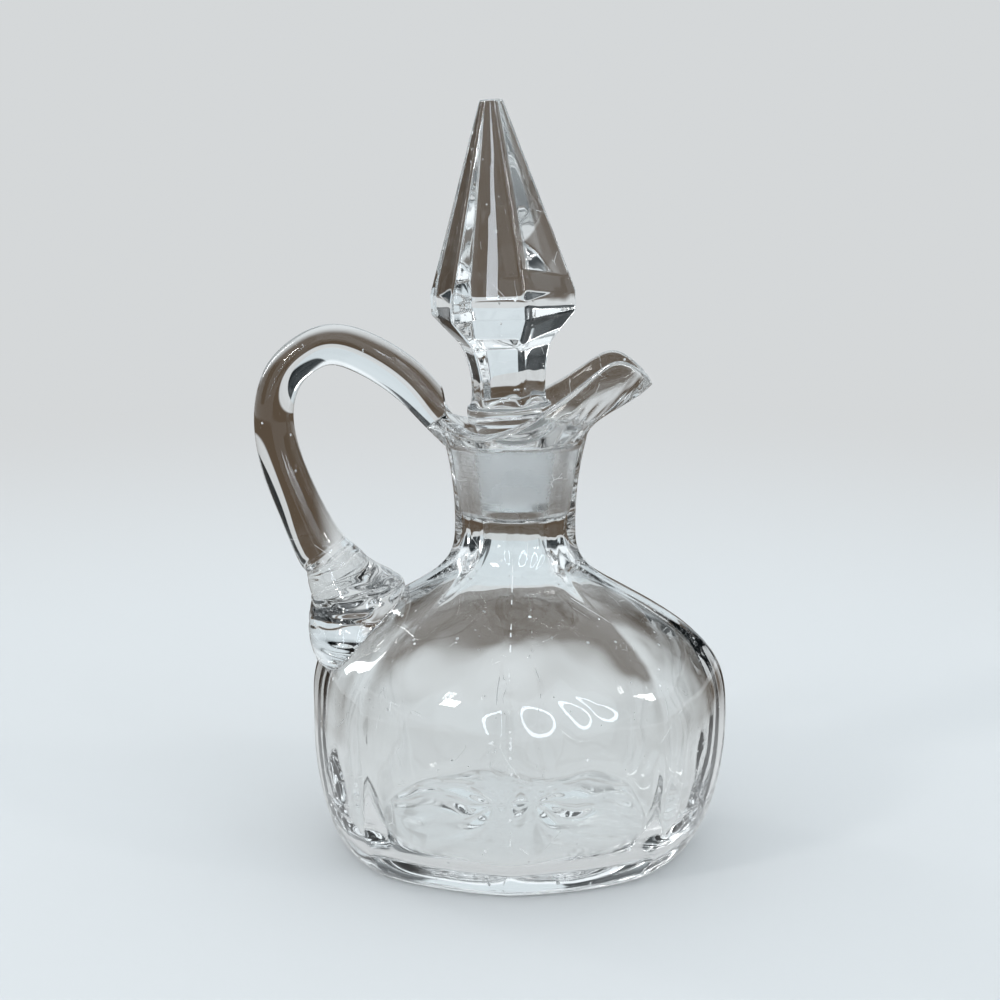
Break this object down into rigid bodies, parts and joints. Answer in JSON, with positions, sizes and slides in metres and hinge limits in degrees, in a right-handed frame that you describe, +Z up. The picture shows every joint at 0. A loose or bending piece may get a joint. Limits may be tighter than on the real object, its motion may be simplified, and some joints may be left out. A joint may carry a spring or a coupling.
{
  "type": "glass decanter",
  "caption": "Small clear glass oil decanter with a panelled squat body, pouring lip, looped side handle and a ground spire stopper.",
  "frame": {"origin": "centre of the flat base on the table", "axes": "+Z up along the neck, +X towards the pouring spout, the handle on the -X side, +Y completes a right-handed frame"},
  "size_m": [0.1042, 0.0924, 0.165],
  "materials": {
    "bottle_glass": "clear blown glass, ground white inside the neck",
    "stopper_glass": "clear pressed glass, plug ground white"
  },
  "bodies": {
    "root": {"bottle": "bottle_glass", "stopper": "stopper_glass"}
  },
  "joints": []
}
